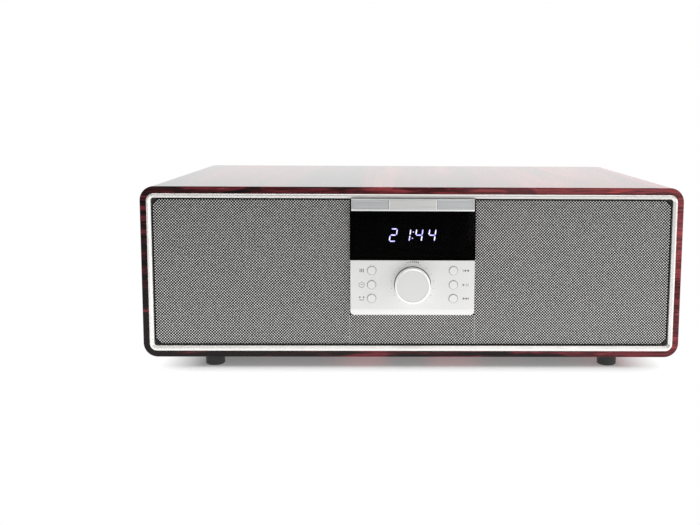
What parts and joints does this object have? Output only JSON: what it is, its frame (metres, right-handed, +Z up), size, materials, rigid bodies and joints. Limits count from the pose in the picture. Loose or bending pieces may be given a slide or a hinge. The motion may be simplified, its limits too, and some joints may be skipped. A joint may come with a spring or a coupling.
{
  "type": "karaoke machine with disc tray",
  "caption": "Wood-veneer karaoke and music player for a table: motor-driven disc tray, clock display, volume knob, push buttons and stereo loudspeakers behind a woven grille.",
  "frame": {"origin": "centre of the outline on the surface that the feet stand on", "axes": "+X to the right seen from the front, +Y to the back, +Z up; the front faces -Y"},
  "size_m": [0.57, 0.363, 0.193],
  "materials": {
    "wood_veneer": "red-brown rosewood veneer, gloss lacquer",
    "black_board": "black painted board",
    "silver_frame": "satin silver paint",
    "panel_silver": "satin silver-white plastic",
    "tray_silver": "brushed silver",
    "grille_mesh": "silver and black woven mesh",
    "black_plastic": "matt black moulding",
    "window": "smoked gloss black acrylic",
    "display": "dark display block",
    "knob_silver": "satin silver",
    "rubber": "matt black rubber",
    "paper_cone": "black pressed paper",
    "magnet": "ferrite and plated steel",
    "zinc_steel": "zinc-plated steel",
    "steel_screw": "black screws",
    "bright_steel": "ground steel",
    "grey_plastic": "dark grey moulding",
    "white_plastic": "acetal gear plastic",
    "circuit_board": "green solder mask",
    "components": "component bodies",
    "aluminium": "extruded aluminium",
    "jack_metal": "nickel-plated sockets",
    "wire": "insulated wire and flat cable"
  },
  "bodies": {
    "cabinet": {"cabinet_shell": "wood_veneer", "feet": "rubber", "front_frame": "silver_frame", "baffle": "black_board", "grille_mesh": "grille_mesh", "grille_frame": "black_plastic", "speaker_basket_left": "zinc_steel", "speaker_basket_right": "zinc_steel", "speaker_magnets": "magnet", "speaker_surrounds": "rubber", "control_panel": "panel_silver", "display_window": "window", "window_carrier": "black_plastic", "front_board": "circuit_board", "clock_display": "display", "front_board_parts": "components", "knob_ring": "black_plastic", "loader_chassis": "black_plastic", "loading_motor": "zinc_steel", "drive_belt": "rubber", "clamp_bridge": "zinc_steel", "loader_brackets": "zinc_steel", "main_board": "circuit_board", "board_components": "components", "amplifier_heatsink": "aluminium", "power_board": "circuit_board", "rear_panel": "black_board", "bass_ports": "black_plastic", "jack_plate": "black_plastic", "line_sockets": "jack_metal", "microphone_jacks": "jack_metal", "usb_socket": "jack_metal", "mains_plate": "black_plastic", "switch_housing": "black_plastic", "cabinet_screws": "steel_screw", "inner_fasteners": "zinc_steel", "wiring": "wire"},
    "tray": {"disc_tray": "grey_plastic", "tray_front": "tray_silver"},
    "drive_gear": {"drive_gear": "white_plastic"},
    "pulley_gear": {"pulley_gear": "white_plastic"},
    "motor_pulley": {"motor_pulley": "white_plastic"},
    "traverse_deck": {"traverse_deck": "zinc_steel", "guide_rods": "bright_steel", "deck_motors": "zinc_steel"},
    "turntable": {"turntable_hub": "black_plastic"},
    "sled": {"optical_pickup": "grey_plastic"},
    "sled_gear": {"sled_gear": "white_plastic"},
    "clamper": {"disc_clamper": "white_plastic"},
    "volume_knob": {"volume_knob": "knob_silver", "encoder_shaft": "bright_steel"},
    "rocker": {"power_rocker": "black_plastic"},
    "cone_left": {"speaker_cone_left": "paper_cone"},
    "cone_right": {"speaker_cone_right": "paper_cone"},
    "button_menu": {"button_menu": "panel_silver"},
    "button_power": {"button_power": "panel_silver"},
    "button_source": {"button_source": "panel_silver"},
    "button_previous": {"button_previous": "panel_silver"},
    "button_play": {"button_play": "panel_silver"},
    "button_next": {"button_next": "panel_silver"}
  },
  "joints": [
    {"name": "tray_slide", "type": "slide", "parent": "cabinet", "child": "tray", "axis": [0, -1, 0], "range_m": [0, 0.136]},
    {"name": "drive_gear_spin", "type": "hinge", "parent": "cabinet", "child": "drive_gear", "pos_m": [0.045, -0.1265, 0.1666], "axis": [0, 0, -1], "range_deg": [0, 650]},
    {"name": "pulley_gear_spin", "type": "hinge", "parent": "cabinet", "child": "pulley_gear", "pos_m": [0.027, -0.1265, 0.1614], "axis": [0, 0, 1], "range_deg": [0, 1300]},
    {"name": "motor_pulley_spin", "type": "hinge", "parent": "cabinet", "child": "motor_pulley", "pos_m": [-0.008, -0.1265, 0.1584], "axis": [0, 0, 1], "range_deg": [0, 3715]},
    {"name": "deck_tilt", "type": "hinge", "parent": "cabinet", "child": "traverse_deck", "pos_m": [0, -0.0005, 0.16415], "axis": [1, 0, 0], "range_deg": [0, 5]},
    {"name": "turntable_spin", "type": "hinge", "parent": "traverse_deck", "child": "turntable", "pos_m": [0, -0.0955, 0.1724], "axis": [0, 0, 1], "continuous": true},
    {"name": "sled_slide", "type": "slide", "parent": "traverse_deck", "child": "sled", "axis": [0, 1, 0], "range_m": [0, 0.035]},
    {"name": "sled_gear_spin", "type": "hinge", "parent": "traverse_deck", "child": "sled_gear", "pos_m": [-0.034, -0.0535, 0.1671], "axis": [0, 0, 1], "range_deg": [0, 360]},
    {"name": "clamper_spin", "type": "hinge", "parent": "cabinet", "child": "clamper", "pos_m": [0, -0.0955, 0.1794], "axis": [0, 0, 1], "continuous": true},
    {"name": "volume_turn", "type": "hinge", "parent": "cabinet", "child": "volume_knob", "pos_m": [0, -0.1755, 0.0906], "axis": [0, -1, 0], "continuous": true},
    {"name": "rocker_tip", "type": "hinge", "parent": "cabinet", "child": "rocker", "pos_m": [0.218, 0.1709, 0.057], "axis": [0, 0, -1], "range_deg": [0, 20]},
    {"name": "menu_press", "type": "slide", "parent": "cabinet", "child": "button_menu", "axis": [0, 1, 0], "range_m": [0, 0.0006], "stiffness_N_per_m": 600},
    {"name": "power_press", "type": "slide", "parent": "cabinet", "child": "button_power", "axis": [0, 1, 0], "range_m": [0, 0.0006], "stiffness_N_per_m": 600},
    {"name": "source_press", "type": "slide", "parent": "cabinet", "child": "button_source", "axis": [0, 1, 0], "range_m": [0, 0.0006], "stiffness_N_per_m": 600},
    {"name": "previous_press", "type": "slide", "parent": "cabinet", "child": "button_previous", "axis": [0, 1, 0], "range_m": [0, 0.0006], "stiffness_N_per_m": 600},
    {"name": "play_press", "type": "slide", "parent": "cabinet", "child": "button_play", "axis": [0, 1, 0], "range_m": [0, 0.0006], "stiffness_N_per_m": 600},
    {"name": "next_press", "type": "slide", "parent": "cabinet", "child": "button_next", "axis": [0, 1, 0], "range_m": [0, 0.0006], "stiffness_N_per_m": 600},
    {"name": "cone_left_travel", "type": "slide", "parent": "cabinet", "child": "cone_left", "axis": [0, -1, 0], "range_m": [-0.003, 0.003], "stiffness_N_per_m": 1500},
    {"name": "cone_right_travel", "type": "slide", "parent": "cabinet", "child": "cone_right", "axis": [0, -1, 0], "range_m": [-0.003, 0.003], "stiffness_N_per_m": 1500}
  ],
  "couplings": [
    {"joint": "drive_gear_spin", "follows": "tray_slide", "rad_per_m": 83.333},
    {"joint": "pulley_gear_spin", "follows": "tray_slide", "rad_per_m": 166.67},
    {"joint": "motor_pulley_spin", "follows": "tray_slide", "rad_per_m": 476.19},
    {"joint": "sled_gear_spin", "follows": "sled_slide", "rad_per_m": 178.57}
  ]
}
